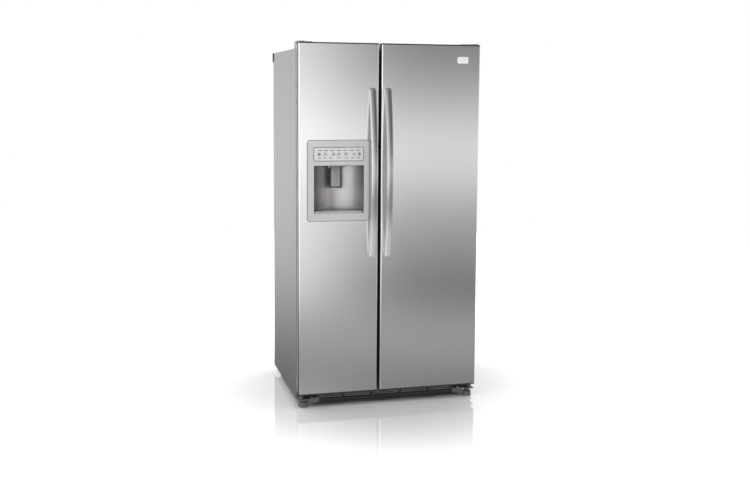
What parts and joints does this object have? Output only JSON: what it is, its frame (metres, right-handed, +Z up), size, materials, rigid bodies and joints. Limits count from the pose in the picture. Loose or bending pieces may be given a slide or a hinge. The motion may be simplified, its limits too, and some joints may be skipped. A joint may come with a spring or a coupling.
{
  "type": "side by side refrigerator",
  "caption": "Freestanding side by side refrigerator with swinging stainless doors, bowed bar handles and a door dispenser, with fitted compartments.",
  "frame": {"origin": "on the floor, under the middle of the refrigerator's overall width and depth", "axes": "+Z up, +Y towards the back (wall side), +X to the right of someone facing the doors"},
  "size_m": [0.9, 0.798, 1.753],
  "materials": {
    "side_paint": "satin",
    "galvanised": "matte",
    "stainless": "satin",
    "handle_steel": "satin",
    "white_liner": "gloss",
    "clear_plastic": "gloss",
    "shelf_glass": "gloss",
    "dark_plastic": "satin",
    "silver_plastic": "satin",
    "panel_face": "gloss",
    "key_face": "satin",
    "gasket_rubber": "matte",
    "black_enamel": "satin",
    "coil_metal": "matte",
    "motor_steel": "satin",
    "hinge_steel": "satin",
    "foam": "matte",
    "badge_metal": "polished"
  },
  "bodies": {
    "cabinet": {"cabinet_shell": "side_paint", "base_pan": "galvanised", "back_panel": "galvanised", "cabinet_foam": "foam", "freezer_liner": "white_liner", "fridge_liner": "white_liner", "centre_mullion": "side_paint", "toe_grille": "dark_plastic", "top_hinges": "hinge_steel", "hinge_covers": "dark_plastic", "bottom_hinges": "hinge_steel", "wall_spacers": "dark_plastic", "compressor": "black_enamel", "condenser_coil": "black_enamel", "evaporator": "coil_metal", "fan_motors": "motor_steel", "rear_cover": "galvanised", "water_valve": "white_liner", "power_inlet": "dark_plastic", "evaporator_cover": "white_liner", "ice_maker": "white_liner", "ice_bin": "clear_plastic", "fridge_shelves": "shelf_glass", "freezer_shelves": "shelf_glass"},
    "freezer_door": {"freezer_door_skin": "stainless", "freezer_door_liner": "white_liner", "freezer_door_foam": "foam", "freezer_door_caps": "dark_plastic", "freezer_door_gasket": "gasket_rubber", "freezer_door_handle": "handle_steel", "freezer_door_bins": "clear_plastic", "dispenser_bezel": "silver_plastic", "dispenser_housing": "silver_plastic", "control_panel": "panel_face", "drip_tray": "silver_plastic"},
    "fridge_door": {"fridge_door_skin": "stainless", "fridge_door_liner": "white_liner", "fridge_door_foam": "foam", "fridge_door_caps": "dark_plastic", "fridge_door_gasket": "gasket_rubber", "fridge_door_handle": "handle_steel", "fridge_door_bins": "clear_plastic", "badge": "badge_metal"},
    "foot_left": {"foot_left": "dark_plastic"},
    "foot_right": {"foot_right": "dark_plastic"},
    "roller_left": {"roller_left": "dark_plastic"},
    "roller_right": {"roller_right": "dark_plastic"},
    "condenser_fan": {"condenser_fan": "dark_plastic"},
    "evaporator_fan": {"evaporator_fan": "white_liner"},
    "ice_auger": {"ice_auger": "handle_steel"},
    "freezer_drawer_lower": {"freezer_drawer_lower": "clear_plastic"},
    "freezer_drawer_upper": {"freezer_drawer_upper": "clear_plastic"},
    "crisper_lower": {"crisper_lower": "clear_plastic"},
    "crisper_upper": {"crisper_upper": "clear_plastic"},
    "dairy_flap": {"dairy_flap": "clear_plastic"},
    "dispenser_lever": {"dispenser_lever": "silver_plastic"},
    "key_1": {"key_1": "key_face"},
    "key_2": {"key_2": "key_face"},
    "key_3": {"key_3": "key_face"},
    "key_4": {"key_4": "key_face"}
  },
  "joints": [
    {"name": "fridge_door_hinge", "type": "hinge", "parent": "cabinet", "child": "fridge_door", "pos_m": [0.429, -0.312, 0.9], "axis": [0, 0, 1], "range_deg": [0, 130]},
    {"name": "freezer_door_hinge", "type": "hinge", "parent": "cabinet", "child": "freezer_door", "pos_m": [-0.429, -0.312, 0.9], "axis": [0, 0, -1], "range_deg": [0, 130]},
    {"name": "freezer_drawer_lower_slide", "type": "slide", "parent": "cabinet", "child": "freezer_drawer_lower", "axis": [0, -1, 0], "range_m": [0, 0.23]},
    {"name": "freezer_drawer_upper_slide", "type": "slide", "parent": "cabinet", "child": "freezer_drawer_upper", "axis": [0, -1, 0], "range_m": [0, 0.23]},
    {"name": "crisper_lower_slide", "type": "slide", "parent": "cabinet", "child": "crisper_lower", "axis": [0, -1, 0], "range_m": [0, 0.23]},
    {"name": "crisper_upper_slide", "type": "slide", "parent": "cabinet", "child": "crisper_upper", "axis": [0, -1, 0], "range_m": [0, 0.23]},
    {"name": "dairy_flap_hinge", "type": "hinge", "parent": "fridge_door", "child": "dairy_flap", "pos_m": [0.197, -0.179, 1.602], "axis": [1, 0, 0], "range_deg": [0, 80]},
    {"name": "dispenser_lever_hinge", "type": "hinge", "parent": "freezer_door", "child": "dispenser_lever", "pos_m": [-0.2535, -0.268, 1.163], "axis": [1, 0, 0], "range_deg": [0, 10], "stiffness_Nm_per_rad": 0.3, "springref_deg": -11.46},
    {"name": "key_1_press", "type": "slide", "parent": "freezer_door", "child": "key_1", "axis": [0, 1, 0], "range_m": [0, 0.0008], "stiffness_N_per_m": 400, "springref_m": -0.0008},
    {"name": "key_2_press", "type": "slide", "parent": "freezer_door", "child": "key_2", "axis": [0, 1, 0], "range_m": [0, 0.0008], "stiffness_N_per_m": 400, "springref_m": -0.0008},
    {"name": "key_3_press", "type": "slide", "parent": "freezer_door", "child": "key_3", "axis": [0, 1, 0], "range_m": [0, 0.0008], "stiffness_N_per_m": 400, "springref_m": -0.0008},
    {"name": "key_4_press", "type": "slide", "parent": "freezer_door", "child": "key_4", "axis": [0, 1, 0], "range_m": [0, 0.0008], "stiffness_N_per_m": 400, "springref_m": -0.0008},
    {"name": "foot_left_turn", "type": "hinge", "parent": "cabinet", "child": "foot_left", "pos_m": [-0.42, -0.3, 0.02], "axis": [0, 0, 1], "continuous": true},
    {"name": "roller_left_spin", "type": "hinge", "parent": "cabinet", "child": "roller_left", "pos_m": [-0.403, 0.33, 0.02], "axis": [1, 0, 0], "continuous": true},
    {"name": "foot_right_turn", "type": "hinge", "parent": "cabinet", "child": "foot_right", "pos_m": [0.42, -0.3, 0.02], "axis": [0, 0, 1], "continuous": true},
    {"name": "roller_right_spin", "type": "hinge", "parent": "cabinet", "child": "roller_right", "pos_m": [0.403, 0.33, 0.02], "axis": [1, 0, 0], "continuous": true},
    {"name": "condenser_fan_spin", "type": "hinge", "parent": "cabinet", "child": "condenser_fan", "pos_m": [-0.07, 0.275, 0.16], "axis": [1, 0, 0], "continuous": true},
    {"name": "evaporator_fan_spin", "type": "hinge", "parent": "cabinet", "child": "evaporator_fan", "pos_m": [-0.245, 0.284, 0.9], "axis": [0, 1, 0], "continuous": true},
    {"name": "ice_auger_spin", "type": "hinge", "parent": "cabinet", "child": "ice_auger", "pos_m": [-0.245, 0, 1.4], "axis": [0, 1, 0], "continuous": true}
  ],
  "couplings": [
    {"joint": "freezer_drawer_lower_slide", "follows": "freezer_door_hinge", "m_per_rad": 0.1013},
    {"joint": "freezer_drawer_upper_slide", "follows": "freezer_door_hinge", "m_per_rad": 0.1013},
    {"joint": "crisper_lower_slide", "follows": "fridge_door_hinge", "m_per_rad": 0.1013},
    {"joint": "crisper_upper_slide", "follows": "fridge_door_hinge", "m_per_rad": 0.1013}
  ]
}
